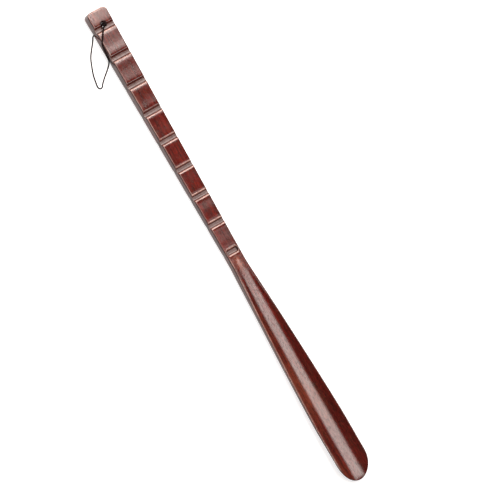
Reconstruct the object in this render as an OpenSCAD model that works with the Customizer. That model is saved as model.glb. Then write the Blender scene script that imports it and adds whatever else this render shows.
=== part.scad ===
// Long wooden shoehorn: one carved board with a grooved handle and a troughed blade, and a knotted
// cord loop to hang it by. It lies on its back. X runs from the handle's end to the tip, Y across,
// and Z up, out of the front face. The origin is under the middle of the horn.

/* [Board] */
// Length from the handle's end to the tip
horn_l = 550; // [450:10:660]
// Thickness of the board at the handle's end
end_t = 12.2; // [10:0.2:15]
// Thickness of the board at the neck, which is also the height of the blade's rims
neck_t = 9.6; // [8:0.2:11.6]

/* [Handle] */
// Length of the handle, from its end to the neck
handle_l = 298; // [240:2:360]
// Width at the handle's end
end_w = 24; // [20:0.2:29]
// Width at the neck
neck_w = 17; // [14:0.5:20]
// Corner radius of the handle's end, seen from the front
end_r = 5; // [2:0.5:7]
// Rounding of the front edges
front_r = 1.6; // [0.8:0.1:2.2]
// Rounding of the back edges
back_r = 2; // [1:0.1:2.5]

/* [Finger grooves] */
// Number of grooves on the front, with as many on the back
groove_n = 9; // [5:1:11]
// Distance from the handle's end to the middle of the first groove
groove_start = 20.2; // [18:0.1:26]
// Distance from the middle of the last groove to the neck
groove_end = 15.5; // [12:0.5:20]
// Opening of a groove along the handle
groove_l = 7.2; // [5:0.2:9]
// Length of a groove's flat floor
groove_floor = 3.8; // [2:0.2:4.8]
// Depth of a groove
groove_d = 2; // [1.8:0.1:2.6]
// Sag of the front face between two grooves
scallop_d = 0.25; // [0:0.05:0.5]
// Border that the last groove on the front leaves at each side
last_border = 1.6; // [1:0.1:2.5]

/* [Hanging hole] */
// Distance from the handle's end to the hole
hole_start = 16.9; // [13:0.1:24]
// Diameter of the hole
hole_d = 5.2; // [4.4:0.1:6.4]
// Width and depth of the bevel round the hole's front mouth
mouth_bevel = 1.2; // [0.5:0.1:1.8]

/* [Blade] */
// Width of the blade at its widest
blade_w = 36; // [31:0.2:43]
// Depth of the trough below the rims
trough_d = 5.1; // [4.2:0.1:5.8]
// Depth of the trough at the tip
tip_trough = 4.9; // [3:0.1:5.6]
// Thickness of the tip
tip_t = 1.8; // [1.5:0.1:3]
// Height of the outer edge at the tip
tip_edge = 1.2; // [1:0.1:2]
// Length of the rounded tip
tip_l = 25; // [18:0.5:31]
// Width of the flat rims where the trough starts
rim_w = 3.8; // [2.5:0.1:4.6]
// Width of the rims along the rest of the blade
rim_min = 0.9; // [0.6:0.1:1.5]
// Rounding of the rims along the rest of the blade
rim_r = 0.7; // [0.4:0.1:1]

/* [Cord] */
// Diameter of the cord
cord_d = 1.5; // [1.2:0.1:1.6]
// How much wider the knot is than the hole that it sits on
knot_over = 1; // [0.6:0.1:1.8]

/* [Hidden] */

blade_l = horn_l - handle_l;
blade_end = horn_l - tip_l;
groove_pitch = (handle_l - groove_start - groove_end) / (groove_n - 1);
groove_wall = (groove_l - groove_floor) / 2;
// The trough starts this far below the last groove, and is at its full depth after trough_run
trough_gap = 1.4;
trough_start = handle_l - groove_end + groove_l / 2 + trough_gap;
trough_run = 190;
trough_power = 1.5;
// The rims are down to their least width after rim_run
rim_run = 75;
// The blade widens over this share of its length
flare_reach = 0.75;
flare_power = 1.27;
flare_blend = 0.6;
// The outer edge loses edge_drop of its height over edge_run of the blade's length, and is down to
// its least height at edge_reach of it
edge_drop = 0.42;
edge_run = 0.28;
edge_reach = 0.88;
edge_power = 2.5;
// The belly rises along the blade with one power, and curves up to its edges with the other
belly_rise = neck_t - tip_trough - tip_t;
belly_power = 1.4;
belly_crown = 2.2;
// The last section is a small outline and not a point
tip_blunt = 0.998;
past = 1;    // how far a cutter runs past the wood
seat_gap = 0.05;

arc_n = 4;    // steps round a rounded edge
front_n = 14; // steps across the front
back_n = 8;   // steps across the back
blade_n = 28; // steps along the blade
tip_n = 9;    // steps round the tip
ring_n = 8;   // sides of the cord
step_n = 2;   // rings for each point of the cord's route

knot_r = (hole_d + knot_over) / 2;

// Middle of the cord from the knot down through the hole, out along the first groove in the back,
// round the loop on the ground and up over the handle's side to the knot. Each point is the
// distance from the handle's end, the distance from the handle's middle, and the height.
route = [
    [17, 0, 10.2], [17, 0, 7.4], [17.2, 0, 5.2], [17.6, -0.2, 3.3], [18.2, -0.8, 1.7],
    [19.2, -2.1, 0.85], [20.4, -4.6, 0.8], [21.2, -8, 0.8], [21.7, -11, 0.8], [22.8, -13, 0.8],
    [25.2, -14.6, 0.8], [28.8, -17.3, 0.8], [33.2, -21, 0.8], [40.2, -26.2, 0.8],
    [48.6, -30.1, 0.8], [57.4, -33.4, 0.8], [64.4, -34.9, 0.8], [68.6, -35.6, 0.8],
    [71.2, -35.3, 0.8], [72.6, -33.5, 0.8], [72.1, -31.5, 0.8], [69, -28.7, 0.8],
    [65.6, -25, 0.8], [61.4, -19.9, 0.8], [58.8, -16.8, 1], [56.4, -14.5, 1.9],
    [54, -12.9, 3.3], [51.4, -12.2, 4.6], [47.4, -12.3, 5.9], [42.6, -12.35, 7.4],
    [38, -12.4, 9], [35.2, -12.4, 10.3], [33.5, -12, 11.5], [32.2, -11.4, 12.3],
    [30.4, -10.1, 12.75], [27.6, -8, 12.75], [24.8, -6, 12.75], [21.8, -3.7, 12.7],
    [19.1, -1.6, 12.6]
];

function lerp(a, b, t) = a + (b - a) * t;
function clamp01(t) = max(0, min(1, t));
function smooth(t) = let (c = clamp01(t)) c * c * (3 - 2 * c);
function soft_max(a, b, blend) = (a + b + sqrt((a - b) * (a - b) + blend * blend)) / 2;
function quarter(u, r) = u >= r ? 0 : r - sqrt(r * r - (r - u) * (r - u));
function unit(v) = v / norm(v);

// In every function u is the distance along the horn from the handle's end.
// How far along the blade, from 0 at the neck to 1 at the tip
function along(u) = clamp01((u - handle_l) / blade_l);

function handle_width(u) = lerp(end_w, neck_w, u / handle_l);

function blade_width(u) =
    let (left = 1 - (u - handle_l) / blade_l / flare_reach)
    lerp(neck_w, blade_w, left > 0 ? 1 - pow(left, flare_power) : 1);

// Half the board's width before its two ends are rounded
function half_board(u) = soft_max(handle_width(u), blade_width(u), flare_blend) / 2;

function tip_share(u) = let (t = tip_blunt * clamp01((u - blade_end) / tip_l)) sqrt(1 - t * t);

function half_width(u) = half_board(u) * tip_share(u) - quarter(u, end_r);

function board_height(u) = lerp(end_t, neck_t, min(1, u / handle_l));

function groove_middle(i) = groove_start + i * groove_pitch;

function nearest_groove(u) = max(0, min(groove_n - 1, round((u - groove_start) / groove_pitch)));

// 1 on a groove's floor, and 0 outside the groove
function groove_share(u) =
    let (away = abs(u - groove_middle(nearest_groove(u))))
    1 - smooth((away - groove_floor / 2) / groove_wall);

// The last groove on the front stops short of the sides
function groove_across(u, y) =
    nearest_groove(u) < groove_n - 1
        ? 1
        : smooth((half_width(u) - last_border - abs(y)) / last_border);

function scallop(u) =
    let (t = (u - groove_start) / groove_pitch)
    t < 0 || t > groove_n - 1 ? 0 : scallop_d * pow(sin(180 * t), 2);

function trough_depth(u) =
    let (t = clamp01((u - trough_start) / trough_run))
    trough_d * (1 - pow(1 - t, trough_power))
    - (trough_d - tip_trough) * smooth((along(u) - 0.6) / 0.4);

function rim_width(u) = lerp(rim_w, rim_min, smooth((u - trough_start) / rim_run));

function trough(u, y) =
    let (across = y / (half_board(u) - rim_width(u)))
    trough_depth(u) * max(0, 1 - across * across);

function front_height(u, y) = board_height(u) - scallop(u) - trough(u, y) - quarter(u, front_r);

function edge_height(u) =
    let (w = along(u))
    lerp(
        tip_edge,
        neck_t,
        (1 - edge_drop * smooth(w / edge_run)) * (1 - pow(min(1, w / edge_reach), edge_power))
    );

function back_height(u, y) =
    let (
        middle = belly_rise * pow(along(u), belly_power),
        edge = neck_t - edge_height(u)
    )
    lerp(middle, edge, pow(abs(y) / half_board(u), belly_crown)) + quarter(u, back_r);

// The rounding of the front edges, which are sharper on the blade's rims
function front_rounding(u) = lerp(front_r, rim_r, smooth((u - trough_start) / rim_run));

// A rounded edge of a section, from one end of its arc to the other
function edge_arc(y, z, r, from, to) =
    [for (i = [0:arc_n]) let (a = lerp(from, to, i / arc_n)) [y + r * cos(a), z + r * sin(a)]];

// A point of a section after the grooves are cut into the front and into the back
function cut_front(u, p) =
    [p[0], min(p[1], board_height(u) - groove_d * groove_share(u) * groove_across(u, p[0]))];

function cut_back(u, p) = [p[0], max(p[1], groove_d * groove_share(u))];

// A section's outline, anticlockwise for someone who looks from the tip to the handle
function section(u) =
    let (
        h = half_width(u),
        t = front_height(u, h) - back_height(u, h),
        fr = min(front_rounding(u), 0.45 * h, 0.45 * t),
        br = min(back_r, 0.45 * h, 0.45 * t),
        fy = h - fr,
        by = h - br,
        fz = front_height(u, fy) - fr,
        bz = back_height(u, by) + br,
        front = concat(
            edge_arc(fy, fz, fr, 0, 90),
            [for (i = [1:front_n - 1])
                let (y = fy * (1 - 2 * i / front_n)) [y, front_height(u, y)]],
            edge_arc(-fy, fz, fr, 90, 180)
        ),
        back = concat(
            edge_arc(-by, bz, br, 180, 270),
            [for (i = [1:back_n - 1]) let (y = by * (2 * i / back_n - 1)) [y, back_height(u, y)]],
            edge_arc(by, bz, br, 270, 360)
        )
    )
    concat([for (p = front) cut_front(u, p)], [for (p = back) cut_back(u, p)]);

// Where the sections stand
end_stations = [for (i = [0:4]) end_r * (1 - cos(22.5 * i))];
groove_stations = [
    for (i = [0:groove_n - 1], s = [-1, -0.5, 0, 1, 1.5, 2, 3, 4])
        if (s <= 2 || i < groove_n - 1)
            groove_middle(i)
            + (s <= 0 ? s * groove_wall - groove_floor / 2
               : s <= 2 ? groove_floor / 2 + (s - 1) * groove_wall
               : groove_pitch * (s == 3 ? 0.35 : 0.65))
];
blade_stations = [
    for (i = [0:blade_n]) lerp(trough_start, blade_end, pow(i / blade_n, 1.4))
];
tip_stations = [for (i = [1:tip_n]) blade_end + tip_l * sin(90 * i / tip_n)];
stations = concat(end_stations, groove_stations, blade_stations, tip_stations);

// A closed solid through a list of outlines that all have the same number of points
module loft(rings) {
    n = len(rings[0]);
    last = len(rings) - 1;
    function at(i, k) = i * n + k % n;
    polyhedron(
        points = [for (ring = rings, p = ring) p],
        faces = concat(
            [[for (k = [0:n - 1]) k]],
            [for (i = [0:last - 1], k = [0:n - 1]) [at(i, k), at(i + 1, k), at(i, k + 1)]],
            [for (i = [0:last - 1], k = [0:n - 1]) [at(i, k + 1), at(i + 1, k), at(i + 1, k + 1)]],
            [[for (k = [n - 1:-1:0]) at(last, k)]]
        )
    );
}

module hanging_hole() {
    mouth = board_height(hole_start);
    translate([hole_start, 0, -past]) cylinder(h = mouth + 2 * past, d = hole_d, $fn = 64);
    translate([hole_start, 0, mouth - mouth_bevel])
        cylinder(
            h = mouth_bevel + past,
            r1 = hole_d / 2,
            r2 = hole_d / 2 + mouth_bevel + past,
            $fn = 64
        );
}

module horn() {
    color("#6b1f1a")
        translate([-horn_l / 2, 0, 0])
            difference() {
                loft([for (u = stations) [for (p = section(u)) [u, p[0], p[1]]]]);
                hanging_hole();
            }
}

// A smooth curve through the route's points
function route_point(i) = let (n = len(route) - 1)
    i < 0 ? 2 * route[0] - route[1]
    : i > n ? 2 * route[n] - route[n - 1]
    : route[i];

function between(i, t) =
    let (a = route_point(i - 1), b = route_point(i), c = route_point(i + 1), d = route_point(i + 2))
    b + (c - a) * t / 2
    + (2 * a - 5 * b + 4 * c - d) * t * t / 2
    + (3 * b - a - 3 * c + d) * t * t * t / 2;

function cord_line() = concat(
    [for (i = [0:len(route) - 2], s = [0:step_n - 1]) between(i, s / step_n)],
    [route[len(route) - 1]]
);

// The rings of the cord, each turned from the one before it as little as the line lets it
function cord_rings(line, i, side) =
    i == len(line) ? []
    : let (
        t = unit(line[min(i + 1, len(line) - 1)] - line[max(i - 1, 0)]),
        m = unit(side - (side * t) * t),
        b = cross(t, m)
    )
    concat(
        [[for (k = [0:ring_n - 1])
            line[i] + cord_d / 2 * (m * cos(360 * k / ring_n) + b * sin(360 * k / ring_n))]],
        cord_rings(line, i + 1, m)
    );

module cord_loop() {
    color("#231c1c")
        translate([-horn_l / 2, 0, 0])
            loft(cord_rings(cord_line(), 0, [0, 1, 0]));
}

// Everything past a flat at a point of the cord's route, on the side that the cord leaves to
module past_flat(place, direction) {
    d = unit(direction);
    translate(place)
        rotate([0, acos(d[2]), atan2(d[1], d[0])])
            translate([-knot_r, -knot_r, 0])
                cube(2 * knot_r);
}

// The knot is flat where each end of the cord meets it
module cord_knot() {
    line = cord_line();
    last = len(line) - 1;
    seat = board_height(hole_start) - mouth_bevel + seat_gap;
    lift = sqrt(pow(knot_r, 2) - pow(hole_d / 2, 2));
    color("#231c1c")
        translate([-horn_l / 2, 0, 0])
            difference() {
                translate([hole_start, 0, seat + lift]) sphere(r = knot_r, $fn = 48);
                past_flat(line[0], line[1] - line[0]);
                past_flat(line[last], line[last - 1] - line[last]);
            }
}

horn();
cord_loop();
cord_knot();
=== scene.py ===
"""Long wooden shoehorn: a carved and lacquered board with finger grooves and a troughed blade, and
a knotted cord loop. It lies on its back on a pale floor, with the front, which has the trough, up.
The shape functions work in millimetres, with u as the distance from the handle's end, y across and
z up; everything in Blender is in metres."""
import math

import bpy
import numpy as np
from mathutils import Matrix, Vector

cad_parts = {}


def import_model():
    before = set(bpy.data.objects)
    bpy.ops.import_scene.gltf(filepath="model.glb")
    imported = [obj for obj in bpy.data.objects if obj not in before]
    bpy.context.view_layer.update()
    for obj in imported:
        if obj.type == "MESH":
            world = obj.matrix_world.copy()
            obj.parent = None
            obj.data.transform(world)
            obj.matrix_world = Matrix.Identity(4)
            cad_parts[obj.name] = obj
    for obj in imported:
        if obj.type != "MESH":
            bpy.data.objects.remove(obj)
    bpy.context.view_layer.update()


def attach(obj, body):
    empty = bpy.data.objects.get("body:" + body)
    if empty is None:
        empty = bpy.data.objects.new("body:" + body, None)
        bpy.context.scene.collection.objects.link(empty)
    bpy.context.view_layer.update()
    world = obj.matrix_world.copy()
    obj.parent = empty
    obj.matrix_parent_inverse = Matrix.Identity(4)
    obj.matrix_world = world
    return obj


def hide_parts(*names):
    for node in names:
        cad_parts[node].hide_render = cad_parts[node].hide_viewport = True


MM = 0.001

# Board
HORN_L = 550
END_T = 12.2
NECK_T = 9.6
HANDLE_L = 298
END_W = 24
NECK_W = 17
END_R = 5
FRONT_R = 1.6
BACK_R = 2
ROUND_SHARE = 0.45  # most that an edge's rounding takes of the half width and of the thickness
SHARP_ANGLE = 32    # at which two faces of the mesh meet in a sharp edge
PAST = 1            # how far a cut runs past the wood

# Finger grooves
GROOVE_N = 9
GROOVE_START = 20.2
GROOVE_END = 15.5
GROOVE_PITCH = (HANDLE_L - GROOVE_START - GROOVE_END) / (GROOVE_N - 1)
GROOVE_L = 7.2
GROOVE_FLOOR = 3.8
GROOVE_D = 2
GROOVE_SOFT = 0.8  # rounding of the lips and of the corners of the floor
SCALLOP_D = 0.25
LAST_BORDER = 1.6

# Hanging hole
HOLE_START = 16.9
HOLE_D = 5.2
MOUTH_BEVEL = 1.2

# Blade
BLADE_L = HORN_L - HANDLE_L
BLADE_W = 36
FLARE_REACH = 0.75  # share of the blade's length over which it widens
FLARE_POWER = 1.27
FLARE_BLEND = 0.6
TROUGH_GAP = 1.4
TROUGH_START = HANDLE_L - GROOVE_END + GROOVE_L / 2 + TROUGH_GAP
TROUGH_RUN = 190
TROUGH_D = 5.1
TROUGH_POWER = 1.5
TROUGH_BLEND = 0.05
TIP_TROUGH = 4.9
TIP_TROUGH_FROM = 0.6  # share of the blade's length at which the trough turns shallower
RIM_W = 3.8
RIM_MIN = 0.9
RIM_R = 0.7
RIM_RUN = 75

# Underside of the blade: how its outer edge falls from the neck, and how its belly curves
TIP_EDGE = 1.2
EDGE_DROP = 0.42
EDGE_RUN = 0.28
EDGE_REACH = 0.88
EDGE_POWER = 2.5
TIP_T = 1.8
BELLY_RISE = NECK_T - TIP_TROUGH - TIP_T
BELLY_POWER = 1.4
BELLY_CROWN = 2.2

# Tip
TIP_L = 25
TIP_R = 0.6
TIP_BLUNT = 0.9998  # the last section is a small outline and not a point
NOSE_D = 0.4        # fall of the front at the tip, over the last NOSE_L
NOSE_L = 12
NOSE_POWER = 3

# Cord
CORD_D = 1.5
CORD_STEP = 0.22   # between two rings of the cord's mesh
CORD_LOBE = 0.05   # share of the radius by which the cord is thinner between its strands
CORD_SMOOTH = 8    # points of the smooth curve for each point of the route
KNOT_D = 6.2
KNOT_RISE = 1.5    # of the knot's middle line, above and below its centre
KNOT_POINTS = 400
KNOT_OPEN = 0.02   # angle at which each end of the knot's middle line stops short of the other
KNOT_GAP = 0.05    # of the knot over the foot of the bevel that it sits in
ROUTE = [
    (17, 0, 10.2), (17, 0, 7.4), (17.2, 0, 5.2), (17.6, -0.2, 3.3), (18.2, -0.8, 1.7),
    (19.2, -2.1, 0.85), (20.4, -4.6, 0.8), (21.2, -8, 0.8), (21.7, -11, 0.8), (22.8, -13, 0.8),
    (25.2, -14.6, 0.8), (28.8, -17.3, 0.8), (33.2, -21, 0.8), (40.2, -26.2, 0.8),
    (48.6, -30.1, 0.8), (57.4, -33.4, 0.8), (64.4, -34.9, 0.8), (68.6, -35.6, 0.8),
    (71.2, -35.3, 0.8), (72.6, -33.5, 0.8), (72.1, -31.5, 0.8), (69, -28.7, 0.8),
    (65.6, -25, 0.8), (61.4, -19.9, 0.8), (58.8, -16.8, 1), (56.4, -14.5, 1.9),
    (54, -12.9, 3.3), (51.4, -12.2, 4.6), (47.4, -12.3, 5.9), (42.6, -12.35, 7.4),
    (38, -12.4, 9), (35.2, -12.4, 10.3), (33.5, -12, 11.5), (32.2, -11.4, 12.3),
    (30.4, -10.1, 12.75), (27.6, -8, 12.75), (24.8, -6, 12.75), (21.8, -3.7, 12.7),
    (19.1, -1.6, 12.6),
]


def metres(points):
    """Points on the horn in metres: u is measured from the handle's end, X from the middle."""
    points = np.asarray(points, float)
    return (points - [HORN_L / 2, 0, 0]) * MM


# ---------------------------------------------------------------- camera

TILT_DEGREES = 23                # from the front's normal, towards -Y
VIEW_TILT = math.radians(TILT_DEGREES)
VIEW_ROLL = math.radians(29.8)   # of the horn, from the picture's vertical
VIEW_DISTANCE = 5.5
VIEW_WIDTH = 0.5107
VIEW_SHIFT = (0.02485, 0.00395)  # of the picture's middle from the horn's, right and down
SENSOR_WIDTH = 36


def make_camera():
    across = Vector((0, math.cos(VIEW_TILT), math.sin(VIEW_TILT)))
    back = Vector((0, -math.sin(VIEW_TILT), math.cos(VIEW_TILT)))
    right = Vector((math.sin(VIEW_ROLL), 0, 0)) + across * math.cos(VIEW_ROLL)
    up = Vector((-math.cos(VIEW_ROLL), 0, 0)) + across * math.sin(VIEW_ROLL)
    target = right * VIEW_SHIFT[0] - up * VIEW_SHIFT[1]
    data = bpy.data.cameras.new("camera")
    data.sensor_width = SENSOR_WIDTH
    data.lens = SENSOR_WIDTH * VIEW_DISTANCE / VIEW_WIDTH
    data.clip_end = 50
    camera = bpy.data.objects.new("camera", data)
    turn = Matrix((right, up, back)).transposed().to_4x4()
    camera.matrix_world = Matrix.Translation(target + back * VIEW_DISTANCE) @ turn
    bpy.context.scene.collection.objects.link(camera)
    bpy.context.scene.camera = camera


# ---------------------------------------------------------------- shapes

def lerp(a, b, t):
    return a + (b - a) * t


def smooth(t):
    t = np.clip(t, 0, 1)
    return t * t * (3 - 2 * t)


def rise(value, start, run):
    """0 below start, 1 from start + run on, and a smooth step between them."""
    return smooth((value - start) / run)


def fall(value, end, run):
    """1 below end - run, 0 from end on, and a smooth step between them."""
    return smooth((end - value) / run)


def soft_max(a, b, blend):
    return (a + b + np.sqrt((a - b) ** 2 + blend ** 2)) / 2


def soft_min(a, b, blend):
    return -soft_max(-a, -b, blend)


def quarter(u, r):
    """Fall of an edge with rounding r, at a distance u inside the edge."""
    return r - math.sqrt(r * r - (r - u) ** 2) if u < r else 0


def along(u):
    """Share of the blade's length that lies before u."""
    return min(1, max(0, (u - HANDLE_L) / BLADE_L))


def half_board(u):
    """Half the width without the rounded ends."""
    handle = lerp(END_W, NECK_W, u / HANDLE_L)
    left = max(0, 1 - (u - HANDLE_L) / BLADE_L / FLARE_REACH)
    blade = lerp(NECK_W, BLADE_W, 1 - left ** FLARE_POWER)
    return soft_max(handle, blade, FLARE_BLEND) / 2


def half_width(u):
    t = TIP_BLUNT * min(1, max(0, (u - HORN_L + TIP_L) / TIP_L))
    return half_board(u) * math.sqrt(1 - t * t) - quarter(u, END_R)


def board_height(u):
    return lerp(END_T, NECK_T, min(1, u / HANDLE_L))


def groove_depth(u):
    """Number of the nearest groove, and its depth at u, which is negative outside it."""
    i = min(GROOVE_N - 1, max(0, round((u - GROOVE_START) / GROOVE_PITCH)))
    away = abs(u - GROOVE_START - i * GROOVE_PITCH)
    wall = (GROOVE_L - GROOVE_FLOOR) / 2
    slope = GROOVE_D * (1 - (away - GROOVE_FLOOR / 2) / wall)
    return i, soft_min(slope, GROOVE_D, GROOVE_SOFT)


def scallop(u):
    t = (u - GROOVE_START) / GROOVE_PITCH
    return SCALLOP_D * math.sin(math.pi * t) ** 2 if 0 < t < GROOVE_N - 1 else 0


def trough(u, y):
    t = min(1, max(0, (u - TROUGH_START) / TROUGH_RUN))
    depth = TROUGH_D * (1 - (1 - t) ** TROUGH_POWER)
    shallower = rise(along(u), TIP_TROUGH_FROM, 1 - TIP_TROUGH_FROM)
    depth -= (TROUGH_D - TIP_TROUGH) * shallower
    rim = lerp(RIM_W, RIM_MIN, rise(u, TROUGH_START, RIM_RUN))
    across = y / (half_board(u) - rim)
    return depth * soft_max(0, 1 - across * across, TROUGH_BLEND)


def front_height(u, y):
    ends = quarter(u, FRONT_R) + quarter(HORN_L - u, TIP_R)
    nose = NOSE_D * max(0, 1 - (HORN_L - u) / NOSE_L) ** NOSE_POWER
    return board_height(u) - scallop(u) - trough(u, y) - ends - nose


def edge_height(u):
    """Height of the blade's outer edge, from the front down to the underside."""
    w = along(u)
    share = (1 - EDGE_DROP * smooth(w / EDGE_RUN)) * (1 - min(1, w / EDGE_REACH) ** EDGE_POWER)
    return lerp(TIP_EDGE, NECK_T, share)


def back_height(u, y):
    middle = BELLY_RISE * along(u) ** BELLY_POWER
    ends = quarter(u, BACK_R) + quarter(HORN_L - u, TIP_R)
    outer = (np.abs(y) / half_board(u)) ** BELLY_CROWN
    return lerp(middle, NECK_T - edge_height(u), outer) + ends


def arc(y, z, r, start, end, steps):
    turn = np.radians(np.linspace(start, end, steps))
    return np.stack([y + r * np.cos(turn), z + r * np.sin(turn)], 1)


# Numbers of points of a section's outline: on the front and the back, and round an edge of each
FRONT_POINTS = 37
BACK_POINTS = 25
FRONT_ARC = 9
BACK_ARC = 8


def section(u):
    """A section's outline, anticlockwise for someone who looks from the tip to the handle."""
    h = half_width(u)
    t = front_height(u, h) - back_height(u, h)
    most = ROUND_SHARE * min(h, t)
    fr = min(lerp(FRONT_R, RIM_R, rise(u, TROUGH_START, RIM_RUN)), most)
    br = min(BACK_R, most)
    fy = h - fr
    by = h - br
    fz = front_height(u, fy) - fr
    bz = back_height(u, by) + br
    front_y = np.linspace(fy, -fy, FRONT_POINTS)[1:-1]
    back_y = np.linspace(-by, by, BACK_POINTS)[1:-1]
    front = np.concatenate([
        arc(fy, fz, fr, 0, 90, FRONT_ARC),
        np.stack([front_y, front_height(u, front_y)], 1),
        arc(-fy, fz, fr, 90, 180, FRONT_ARC),
    ])
    back = np.concatenate([
        arc(-by, bz, br, 180, 270, BACK_ARC),
        np.stack([back_y, back_height(u, back_y)], 1),
        arc(by, bz, br, 270, 360, BACK_ARC),
    ])
    i, depth = groove_depth(u)
    cut = board_height(u) - depth
    if i == GROOVE_N - 1:
        border = smooth((h - LAST_BORDER - np.abs(front[:, 0])) / LAST_BORDER)
        cut = cut + (1 - border) * (GROOVE_D + PAST)
    front[:, 1] = soft_min(front[:, 1], cut, GROOVE_SOFT)
    back[:, 1] = soft_max(back[:, 1], depth, GROOVE_SOFT)
    return np.concatenate([front, back])


# Numbers of sections: before the first groove, at a groove, between two and along the blade,
# each with both ends counted
BEFORE_SECTIONS = 8
GROOVE_SECTIONS = 27
BETWEEN_SECTIONS = 13
BLADE_SECTIONS = 76
GROOVE_REACH = 4.6  # half the length of the stretch with close sections at a groove
LAST_STEP = 0.04    # from the tip to the section before it


def stations():
    """Where the sections stand: close together at the ends and at the grooves."""
    end = [END_R * (1 - math.cos(math.radians(a))) for a in range(0, 91, 9)]
    grooves = []
    for i in range(GROOVE_N):
        middle = GROOVE_START + i * GROOVE_PITCH
        at_groove = np.linspace(-GROOVE_REACH, GROOVE_REACH, GROOVE_SECTIONS)
        grooves += list(middle + at_groove)
        if i < GROOVE_N - 1:
            between = np.linspace(GROOVE_REACH, GROOVE_PITCH - GROOVE_REACH, BETWEEN_SECTIONS)
            grooves += list(middle + between[1:-1])
    before = list(np.linspace(END_R, grooves[0], BEFORE_SECTIONS)[1:-1])
    blade = list(np.linspace(grooves[-1], HORN_L - TIP_L, BLADE_SECTIONS)[1:])
    tip = [HORN_L - TIP_L * (1 - math.sin(math.radians(a))) for a in range(5, 91, 5)]
    tip.insert(-1, HORN_L - LAST_STEP)
    return end + before + grooves + blade + tip


def add_object(name, vertices, faces):
    mesh = bpy.data.meshes.new(name)
    mesh.from_pydata([tuple(v) for v in vertices], [], faces)
    mesh.validate()
    mesh.shade_smooth()
    piece = bpy.data.objects.new(name, mesh)
    bpy.context.scene.collection.objects.link(piece)
    return piece


def loft(name, rings):
    """A closed mesh through rings of points that all have the same number of points."""
    n = len(rings[0])
    last = (len(rings) - 1) * n
    faces = [tuple(range(n)), tuple(range(last + n - 1, last - 1, -1))]
    for i in range(len(rings) - 1):
        for k in range(n):
            j = (k + 1) % n
            faces.append((i * n + k, (i + 1) * n + k, (i + 1) * n + j, i * n + j))
    return add_object(name, np.concatenate(rings), faces)


def lathe(name, profile, place, sides=96):
    """A closed solid of (radius, height) points turned round a vertical axis at place."""
    turn = np.radians(np.arange(sides) * 360 / sides)
    rings = []
    for r, z in profile:
        points = [place[0] + r * np.cos(turn), place[1] + r * np.sin(turn), np.full(sides, z)]
        rings.append(metres(np.stack(points, 1)))
    return loft(name, rings[::-1])


def hole_cutter():
    """The hanging hole with its bevelled front mouth and a broken edge at its back mouth."""
    r = HOLE_D / 2
    edge = 0.3
    back_mouth = [(r + edge + PAST, -PAST), (r + edge, 0), (r + 0.06, 0.25), (r, 0.5)]
    top = board_height(HOLE_START)
    bevel = top - MOUTH_BEVEL
    front_mouth = [
        (r, bevel - edge), (r + 0.08, bevel), (r + edge, bevel + edge),
        (r + MOUTH_BEVEL, top), (r + MOUTH_BEVEL + PAST, top + PAST),
    ]
    return lathe("hole_cutter", back_mouth + front_mouth, (HOLE_START, 0))


def make_horn():
    rings = [metres([(u, y, z) for y, z in section(u)]) for u in stations()]
    horn = loft("horn_board", rings)
    cutter = hole_cutter()
    cut = horn.modifiers.new("hole", "BOOLEAN")
    cut.object = cutter
    cut.operation = "DIFFERENCE"
    cut.solver = "EXACT"
    graph = bpy.context.evaluated_depsgraph_get()
    mesh = bpy.data.meshes.new_from_object(horn.evaluated_get(graph))
    horn.modifiers.clear()
    horn.data = mesh
    bpy.data.objects.remove(cutter)
    mesh.shade_smooth()
    mesh.set_sharp_from_angle(angle=math.radians(SHARP_ANGLE))
    return horn


def smooth_line(points, steps):
    """A smooth curve through the points, with so many steps between each two."""
    points = np.asarray(points, float)
    ends = [2 * points[0] - points[1], 2 * points[-1] - points[-2]]
    p = np.concatenate([ends[:1], points, ends[1:]])
    line = []
    for i in range(1, len(p) - 2):
        a, b, c, d = p[i - 1:i + 3]
        for t in np.arange(steps) / steps:
            line.append(
                b + (c - a) * t / 2
                + (2 * a - 5 * b + 4 * c - d) * t ** 2 / 2
                + (3 * b - a - 3 * c + d) * t ** 3 / 2
            )
    line.append(points[-1])
    return np.array(line)


def even(line, step):
    """The same curve with its points evenly spaced, about one step apart."""
    gone = np.concatenate([[0], np.cumsum(np.linalg.norm(np.diff(line, axis=0), axis=1))])
    wanted = np.linspace(0, gone[-1], max(2, round(gone[-1] / step)))
    return np.stack([np.interp(wanted, gone, line[:, k]) for k in range(3)], 1)


def twisted_tube(name, line, diameter, strands=3, pitch=4.2, sides=30):
    """A tube of twisted strands along a line, all in millimetres."""
    turn = np.radians(np.arange(sides) * 360 / sides)
    side = np.array([0.0, 1.0, 0.0])
    rings = []
    gone = 0
    for i, point in enumerate(line):
        before = line[max(i - 1, 0)]
        after = line[min(i + 1, len(line) - 1)]
        ahead = (after - before) / np.linalg.norm(after - before)
        side = side - (side @ ahead) * ahead
        side /= np.linalg.norm(side)
        other = np.cross(ahead, side)
        if i:
            gone += np.linalg.norm(point - before)
        lobe = np.abs(np.cos(strands / 2 * (turn - 2 * math.pi * gone / pitch)))
        r = diameter / 2 * (1 - CORD_LOBE + CORD_LOBE * lobe)
        ring = point + r[:, None] * (
            np.cos(turn)[:, None] * side + np.sin(turn)[:, None] * other
        )
        rings.append(metres(ring))
    return loft(name, rings)


def make_cord():
    line = even(smooth_line(ROUTE, CORD_SMOOTH), CORD_STEP)
    return twisted_tube("cord", line, CORD_D), line


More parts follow.
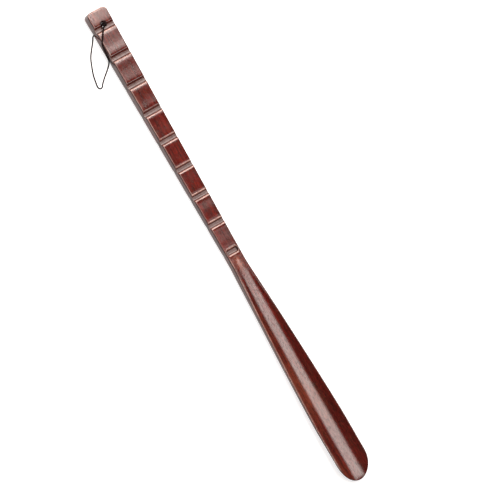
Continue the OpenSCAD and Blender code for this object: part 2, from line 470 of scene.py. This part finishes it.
def make_knot():
    """A pulled-tight overhand knot that sits in the mouth of the hole."""
    seat = board_height(HOLE_START) - MOUTH_BEVEL + KNOT_GAP
    centre_z = seat + math.sqrt((KNOT_D / 2) ** 2 - (HOLE_D / 2) ** 2)
    t = np.linspace(KNOT_OPEN, 2 * math.pi - KNOT_OPEN, KNOT_POINTS) + math.pi / 3
    # The formula's widest reach is 3
    out = (KNOT_D - CORD_D) / 2 / 3
    x = out * (np.sin(t) + 2 * np.sin(2 * t))
    y = out * (np.cos(t) - 2 * np.cos(2 * t))
    z = -KNOT_RISE * np.sin(3 * t)
    line = np.stack([HOLE_START + x, y, centre_z + z], 1)
    return twisted_tube("knot", even(line, CORD_STEP), CORD_D)


# ---------------------------------------------------------------- materials

class Nodes:
    """The nodes of one material, with a short call for each kind."""

    def __init__(self, name):
        self.material = bpy.data.materials.new(name)
        self.material.use_nodes = True
        self.tree = self.material.node_tree
        self.shader = self.tree.nodes["Principled BSDF"]

    def add(self, kind, inputs=(), **settings):
        node = self.tree.nodes.new("ShaderNode" + kind)
        for key, value in settings.items():
            setattr(node, key, value)
        for key, value in dict(inputs).items():
            if isinstance(value, bpy.types.NodeSocket):
                self.tree.links.new(value, node.inputs[key])
            else:
                node.inputs[key].default_value = value
        return node

    def link(self, source, key):
        self.tree.links.new(source, self.shader.inputs[key])

    def place(self, scale):
        """Object coordinates in metres, times a scale on each axis."""
        where = self.add("TexCoord").outputs["Object"]
        return self.add("Mapping", {"Vector": where, "Scale": scale}).outputs["Vector"]

    def noise(self, scale, detail=4, roughness=0.55, distortion=0.0):
        """Noise with so many bumps to the metre on each axis."""
        inputs = {
            "Vector": self.place(scale), "Scale": 1, "Detail": detail,
            "Roughness": roughness, "Distortion": distortion,
        }
        return self.add("TexNoise", inputs).outputs["Fac"]

    def attribute(self, name):
        return self.add("Attribute", attribute_name=name).outputs["Fac"]

    def ramp(self, fac, stops):
        """A colour or grey ramp of (position, value) stops."""
        node = self.add("ValToRGB", {"Fac": fac})
        line = node.color_ramp
        while len(line.elements) < len(stops):
            line.elements.new(0.5)
        for element, (position, value) in zip(line.elements, stops):
            colour = value if isinstance(value, tuple) else (value, value, value)
            element.position = position
            element.color = (*colour, 1)
        return node.outputs["Color"]

    def math(self, operation, a, b, clamp=False):
        return self.add("Math", {0: a, 1: b}, operation=operation, use_clamp=clamp).outputs[0]

    def mix(self, fac, a, b, blend="MIX"):
        node = self.add("MixRGB", {"Fac": fac, "Color1": a, "Color2": b}, blend_type=blend)
        return node.outputs["Color"]

    def bump(self, height, distance, normal=None):
        inputs = {"Height": height, "Distance": distance}
        if normal is not None:
            inputs["Normal"] = normal
        return self.add("Bump", inputs).outputs["Normal"]


# Colours of the wood
BROWN = (0.045, 0.013, 0.008, 1)
PALE_FLECK = (0.13, 0.017, 0.011, 1)
DARK_FLECK = (0.035, 0.014, 0.007, 1)
THIN = (0.19, 0.055, 0.032, 1)
PORE = (0.006, 0.003, 0.003, 1)
# Painted shade, laid in the hole's mouth, on the outer side of edges, on shaded lips and up the
# trough's sides
PAINTED_SHADE_COLOUR = (0.014, 0.0015, 0.001, 1)
# Pale pink of the rubbed edges: partly wear, partly a painted highlight
RUBBED_AND_HIGHLIGHT = (0.36, 0.235, 0.2, 1)

# Heights of the bumps, in metres
RIPPLE_BUMP = 0.000024
GRAIN_BUMP = 0.000008
PORE_BUMP = 0.000008
FIBRE_BUMP = 0.00008


def stained_wood(n, patches, streaks, mottle, pore):
    """Red stain over grain, with brown mottle, flecks, a thin patch, pores and painted shade."""
    stain = n.ramp(patches, [
        (0.36, (0.085, 0.0075, 0.005)), (0.52, (0.052, 0.006, 0.0045)), (0.66, (0.095, 0.02, 0.011)),
    ])
    grain = n.ramp(streaks, [
        (0.3, (0.5, 0.4, 0.4)), (0.5, (1.0, 1.0, 1.0)), (0.72, (1.5, 1.6, 1.5)),
    ])
    colour = n.mix(1.0, stain, grain, "MULTIPLY")
    colour = n.mix(n.ramp(mottle, [(0.5, 0.0), (0.66, 0.6)]), colour, BROWN)
    flecks = n.noise((160, 620, 620), detail=3, roughness=0.65)
    colour = n.mix(n.ramp(flecks, [(0.54, 0.0), (0.7, 0.65)]), colour, PALE_FLECK)
    colour = n.mix(n.ramp(flecks, [(0.3, 0.6), (0.45, 0.0)]), colour, DARK_FLECK)
    thin = n.math("MULTIPLY", n.attribute("thin"), n.ramp(mottle, [(0.35, 0.4), (0.6, 1.0)]))
    colour = n.mix(thin, colour, THIN)
    colour = n.mix(n.math("MULTIPLY", pore, 0.8), colour, PORE)
    # Painted shade: darkened in the hole's mouth, on the edges' outer sides, on shaded lips and up
    # the trough's sides
    return n.mix(n.attribute("painted_shade_mask"), colour, PAINTED_SHADE_COLOUR)


def lacquered_wood():
    n = Nodes("lacquered_wood")
    # Broad patches of stain, long streaks of grain, short dark pores and a fine mottle
    patches = n.noise((9, 60, 60), detail=3)
    streaks = n.noise((14, 420, 420), detail=5, roughness=0.6, distortion=0.4)
    pores = n.noise((260, 2600, 2600), detail=2, roughness=0.5)
    pore = n.ramp(pores, [(0.54, 0.0), (0.64, 1.0)])
    mottle = n.noise((70, 260, 260), detail=4, roughness=0.6)
    colour = stained_wood(n, patches, streaks, mottle, pore)
    # The floors of the grooves are worn to a dull grey brown, and the edges are rubbed to a pale
    # pink that is partly a painted highlight
    worn = n.math("MULTIPLY", n.attribute("groove"), n.ramp(patches, [(0.3, 1.0), (0.75, 0.75)]))
    worn_colour = n.ramp(streaks, [(0.3, (0.027, 0.0095, 0.008)), (0.7, (0.056, 0.024, 0.019))])
    colour = n.mix(worn, colour, worn_colour)
    # The edge mark is partly rubbed wear and partly a painted highlight on the lit edges and lips
    rub_and_highlight = n.math("MULTIPLY", n.attribute("edge"), n.ramp(mottle, [(0.35, 0.35), (0.6, 1.0)]))
    n.link(n.mix(rub_and_highlight, colour, RUBBED_AND_HIGHLIGHT), "Base Color")
    n.link(n.ramp(streaks, [(0.2, 0.4), (0.8, 0.55)]), "Roughness")
    n.shader.inputs["Specular IOR Level"].default_value = 0.0
    # The gloss is the lacquer's: duller where it is worn, and weaker in the mottle and the pores
    dull = n.math("MULTIPLY", n.math("MAXIMUM", worn, rub_and_highlight), 0.3)
    n.link(n.math("ADD", dull, n.ramp(patches, [(0.3, 0.05), (0.7, 0.1)])), "Coat Roughness")
    shine = n.ramp(mottle, [(0.3, 0.82), (0.6, 1.0)])
    n.link(n.math("SUBTRACT", shine, n.math("MULTIPLY", pore, 0.35), clamp=True), "Coat Weight")
    n.shader.inputs["Coat IOR"].default_value = 1.5
    # Ripples in the lacquer over the grain, with the pores sunk in it
    surface = n.bump(n.noise((60, 240, 240), detail=3), RIPPLE_BUMP)
    surface = n.bump(streaks, GRAIN_BUMP, surface)
    surface = n.bump(n.math("SUBTRACT", 1.0, pore), PORE_BUMP, surface)
    n.link(surface, "Normal")
    n.link(surface, "Coat Normal")
    return n.material


def waxed_cord():
    n = Nodes("waxed_cord")
    fibre = n.noise((900, 2600, 2600), detail=3)
    wear = n.noise((120, 120, 120), detail=2)
    colour = n.ramp(fibre, [(0.35, (0.003, 0.002, 0.002)), (0.7, (0.012, 0.008, 0.008))])
    colour = n.mix(n.ramp(wear, [(0.5, 0.0), (0.8, 0.4)]), colour, (0.03, 0.02, 0.019, 1))
    n.link(colour, "Base Color")
    n.link(n.ramp(fibre, [(0.3, 0.5), (0.7, 0.7)]), "Roughness")
    n.shader.inputs["Specular IOR Level"].default_value = 0.05
    n.link(n.bump(fibre, FIBRE_BUMP), "Normal")
    return n.material


def pale_floor():
    n = Nodes("pale_floor")
    grit = n.noise((30, 30, 30), detail=4)
    n.link(n.ramp(grit, [(0.3, 0.4), (0.7, 0.44)]), "Base Color")
    n.shader.inputs["Roughness"].default_value = 0.9
    n.shader.inputs["Specular IOR Level"].default_value = 0.1
    n.shader.inputs["Emission Color"].default_value = (1, 1, 1, 1)
    n.shader.inputs["Emission Strength"].default_value = 0.75
    return n.material


# ---------------------------------------------------------------- wear and painted light

EDGE_RUB_AND_HIGHLIGHT = 0.4     # rubbed wear and painted highlight of the front's outer edges, where the lip of a groove has 1
RIM_LINE = 2        # width of the rubbed line with a painted highlight along the rims of the trough
NO_RUB_OR_HIGHLIGHT_TIP = 12     # length at the tip with no rubbed edge and no painted highlight
HAND_WEAR = 0.05    # of the handle's faces, where the floor of a groove has 1
EDGE_SHADE = 0.85    # painted shade on the outer side of the edges, where the mouth of the hole has 1
LIP_SHADE = 0.7      # painted shade on the lips that carry no rubbed line
TROUGH_SHADE = 0.2   # painted shade at the rims of the trough
THIN_AT = 296       # middle of the patch with thin stain, with its reach along and across
THIN_L = 7
THIN_W = 5


def on_front(u, z):
    return z >= board_height(u) / 2


def outward(u, y, normal):
    """How far a normal points out of the horn's outline, seen from the front."""
    across = normal.y if y > 0 else -normal.y
    return max(across, normal.x) if u > HORN_L - TIP_L else across


def lip_share(u, z, normal):
    """1 on the lip of a groove in the front, and 0 elsewhere."""
    if u > TROUGH_START or not on_front(u, z):
        return 0
    below = (board_height(u) - z) / GROOVE_D
    return rise(abs(normal.x), 0.06, 0.2) * fall(below, 0.55, 0.3)


def lower_share(u):
    """0 at the first three grooves, 1 at the last three, and between them a smooth step."""
    return rise(groove_depth(u)[0], 2, 4)


def groove_wear(u, z):
    """1 on the floor of a groove in the front or the back, and little outside the grooves."""
    from_middle = abs(z / board_height(u) - 0.5)
    floor = rise(groove_depth(u)[1], 0.7, 0.9) * rise(from_middle, 0.22, 0.1)
    return max(floor, HAND_WEAR * fall(u, TROUGH_START, 10))


def edge_wear_and_highlight(u, y, z, normal):
    """1 where a lip of a groove is rubbed, less on the front's edge towards -Y, and 0 on the faces.
    This is partly wear and partly a painted highlight, laid only where the light falls. The lips on
    the handle's end's side get it only on the lower grooves."""
    facing_front = rise(normal.z, 0.72, 0.1)
    edge = rise(outward(u, y, normal), 0.1, 0.15) * facing_front
    if u > TROUGH_START:
        edge = max(edge, rise(abs(y) - half_width(u), -RIM_LINE, 0.6) * facing_front)
    # Only the -Y side, where the light falls, gets the rubbed line with its painted highlight
    edge *= fall(y, 1, 2) * fall(u, HORN_L - NO_RUB_OR_HIGHLIGHT_TIP, NO_RUB_OR_HIGHLIGHT_TIP)
    lip = lip_share(u, z, normal)
    # The lips facing the tip get the painted highlight only on the lower grooves, where the light
    # reaches them
    if normal.x > 0:
        lip *= lower_share(u)
    return max(edge * EDGE_RUB_AND_HIGHLIGHT, lip)


def painted_shade(u, y, z, normal):
    """Painted shade: 1 in and round the hanging hole, and less on the outer side of the edges, on
    the lips that carry no rubbed line and up the sides of the trough."""
    from_hole = math.hypot(u - HOLE_START, y) - HOLE_D / 2 - MOUTH_BEVEL
    hole = 1 - rise(from_hole, 0.2, 0.9)
    # The +Y side, away from the light, gets the painted shade from a smaller tilt
    edge = rise(outward(u, y, normal), 0.55 if y < 0 else 0.25, 0.15) * rise(normal.z, 0, 0.25)
    lip = lip_share(u, z, normal) * (1 - lower_share(u)) if normal.x > 0 else 0
    side = 0
    if u > TROUGH_START and normal.z > 0:
        side = rise(abs(y) / half_board(u), 0.1, 1) * rise(u, TROUGH_START, 40)
    return max(hole, edge * EDGE_SHADE, lip * LIP_SHADE, side * TROUGH_SHADE)


def thin_stain(u, y, z):
    """Up to 1 in a small patch on the front, just below the last groove."""
    patch = math.exp(-((u - THIN_AT) / THIN_L) ** 2 - (y / THIN_W) ** 2)
    return patch if on_front(u, z) else 0


def mark_wear_and_painted_light(horn):
    """Writes how worn each point is, and where it gets a painted highlight and painted shade, for
    the material.
    """
    marks = {"groove": [], "edge": [], "painted_shade_mask": [], "thin": []}
    for v in horn.data.vertices:
        x, y, z = v.co / MM
        u = x + HORN_L / 2
        marks["groove"].append(float(groove_wear(u, z)))
        # The edge mark is part wear, part painted highlight
        marks["edge"].append(float(edge_wear_and_highlight(u, y, z, v.normal)))
        # Painted shade
        marks["painted_shade_mask"].append(float(painted_shade(u, y, z, v.normal)))
        marks["thin"].append(float(thin_stain(u, y, z)))
    for name, values in marks.items():
        mark = horn.data.attributes.new(name, "FLOAT", "POINT")
        mark.data.foreach_set("value", values)


# ---------------------------------------------------------------- stage

WARM = (1, 0.88, 0.83)
FLOOR_HALF = 4

# Softboxes over the blade, over the neck, past the handle's end and over it, all where the front
# mirrors them to the camera, and one over the handle on the camera's side:
# name, x, angle, distance, length, width, radiance
LIGHTS = [
    ("blade_light", 0.305, TILT_DEGREES, 1.2, 0.38, 1.06, 2.9),
    ("blade_middle", 0.295, TILT_DEGREES, 1.19, 0.36, 0.9, 3),
    ("blade_core", 0.285, TILT_DEGREES, 1.18, 0.34, 0.72, 3.4),
    ("neck_light", 0.008, TILT_DEGREES, 1.2, 0.056, 0.97, 3),
    ("end_light", -0.8, TILT_DEGREES, 1.2, 1.0, 0.97, 13),
    ("end_glow", -0.26, TILT_DEGREES, 1.2, 0.08, 0.97, 2.5),
    ("left_light", -0.35, -14, 1.2, 0.7, 1.05, 4),
]


def add_light(name, x, angle, distance, length, width, radiance):
    """A softbox with its middle at x, turned round the horn by an angle from its front's normal.
    Its length lies along the horn."""
    turn = math.radians(angle)
    away = Vector((0, math.sin(turn), math.cos(turn)))
    data = bpy.data.lights.new(name, "AREA")
    data.shape = "RECTANGLE"
    data.size = length
    data.size_y = width
    data.energy = radiance * length * width * math.pi
    data.color = WARM
    light = bpy.data.objects.new(name, data)
    along_x = Vector((1, 0, 0))
    turned = Matrix((along_x, away.cross(along_x), away)).transposed().to_4x4()
    light.matrix_world = Matrix.Translation(Vector((x, 0, 0)) + away * distance) @ turned
    bpy.context.scene.collection.objects.link(light)


def make_stage():
    half = FLOOR_HALF
    corners = [(-half, -half, 0), (half, -half, 0), (half, half, 0), (-half, half, 0)]
    floor = add_object("floor", corners, [(0, 1, 2, 3)])
    floor.data.materials.append(pale_floor())
    world = bpy.data.worlds.new("world")
    world.use_nodes = True
    back = world.node_tree.nodes["Background"]
    back.inputs["Color"].default_value = (1, 1, 1, 1)
    back.inputs["Strength"].default_value = 0.05
    bpy.context.scene.world = world
    bpy.context.scene.view_settings.view_transform = "Standard"
    for light in LIGHTS:
        add_light(*light)


def main():
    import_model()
    make_camera()
    cord, line = make_cord()
    knot = make_knot()
    horn = make_horn()
    mark_wear_and_painted_light(horn)
    materials = {"lacquered_wood": lacquered_wood(), "waxed_cord": waxed_cord()}
    for piece, node, slot in [
        (horn, "horn", "lacquered_wood"),
        (cord, "cord_loop", "waxed_cord"),
        (knot, "cord_knot", "waxed_cord"),
    ]:
        piece.data.materials.clear()
        piece.data.materials.append(materials[slot])
        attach(piece, "root")
        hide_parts(node)
    make_stage()


main()
